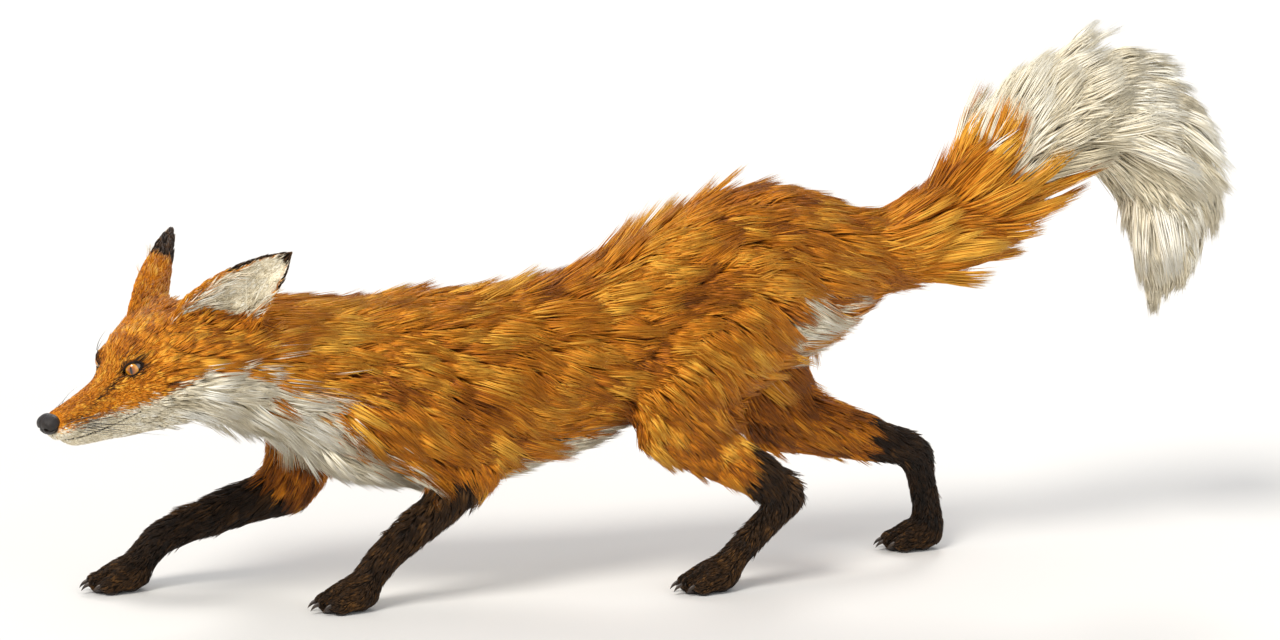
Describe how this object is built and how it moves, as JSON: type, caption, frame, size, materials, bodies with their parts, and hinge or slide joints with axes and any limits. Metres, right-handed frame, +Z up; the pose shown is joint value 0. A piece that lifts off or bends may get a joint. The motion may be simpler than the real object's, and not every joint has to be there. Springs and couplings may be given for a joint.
{
  "type": "red fox",
  "caption": "Life-size still model of a red fox in a low walk, head turned to its left, brush raised with the tip hanging.",
  "frame": {"origin": "on the floor, under the middle of the animal's bounding box", "axes": "+Y from the nose towards the tail, +X to the animal's left side, +Z up"},
  "size_m": [0.1742, 0.9826, 0.4378],
  "materials": {
    "russet_fur": "matte long guard hair over woolly underfur",
    "pale_fur": "matte cream white hair",
    "dark_fur": "short close hair, dark brown to black",
    "nose_leather": "moist pebbled skin",
    "eye_glass": "clear wet cornea over an amber iris with an upright slit pupil",
    "claw_horn": "smooth dark horn",
    "bare_skin": "dark hairless rim and pad skin"
  },
  "bodies": {
    "root": {"trunk": "russet_fur", "neck": "russet_fur", "head": "russet_fur", "lower_jaw": "pale_fur", "nose": "nose_leather", "eye_left": "eye_glass", "ear_left": "dark_fur", "eye_right": "eye_glass", "ear_right": "dark_fur", "tail_root": "russet_fur", "tail_middle": "russet_fur", "tail_tip": "pale_fur", "foreleg_left": "dark_fur", "forepaw_left": "dark_fur", "foreleg_right": "dark_fur", "forepaw_right": "dark_fur", "hindleg_left": "russet_fur", "hindpaw_left": "dark_fur", "hindleg_right": "russet_fur", "hindpaw_right": "dark_fur"}
  },
  "joints": []
}
